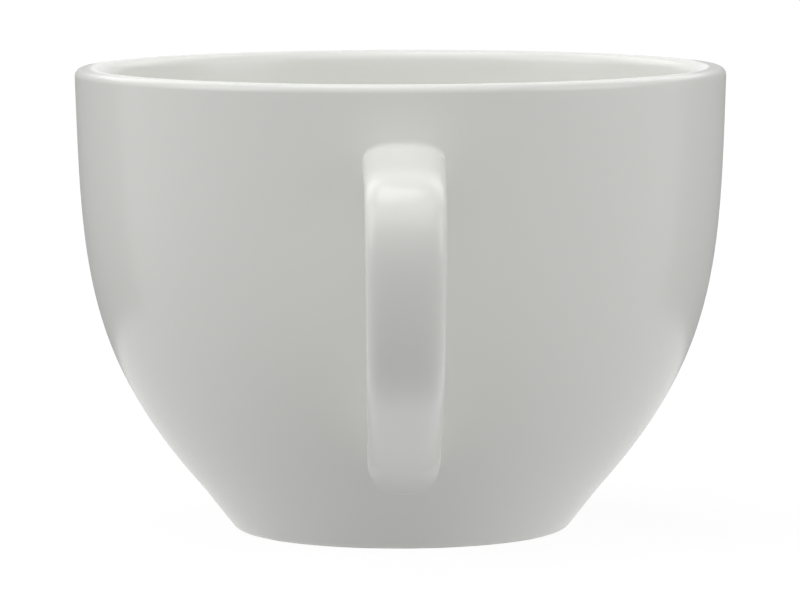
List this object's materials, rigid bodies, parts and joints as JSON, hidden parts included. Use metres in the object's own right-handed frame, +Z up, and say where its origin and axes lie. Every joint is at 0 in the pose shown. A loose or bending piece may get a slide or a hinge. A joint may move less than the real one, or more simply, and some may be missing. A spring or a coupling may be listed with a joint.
{
  "type": "cappuccino cup",
  "caption": "White porcelain cappuccino cup: a thick-walled rounded bowl on a short flared foot ring, with a curved strap handle for holding a hot drink.",
  "frame": {"origin": "on the bowl's axis, at the plane that the foot stands on", "axes": "+Z up along the bowl's axis, -Y out along the handle, +X to the right when the handle faces the viewer"},
  "size_m": [0.096, 0.121, 0.0684],
  "materials": {
    "glazed_porcelain": "satin-gloss white glaze",
    "foot_porcelain": "white glaze with a bare, ground standing edge",
    "joint_slip": "fired slip under the same white glaze"
  },
  "bodies": {
    "root": {"bowl": "glazed_porcelain", "foot_ring": "foot_porcelain", "foot_slip": "joint_slip", "handle": "glazed_porcelain", "upper_handle_slip": "joint_slip", "lower_handle_slip": "joint_slip"}
  },
  "joints": []
}
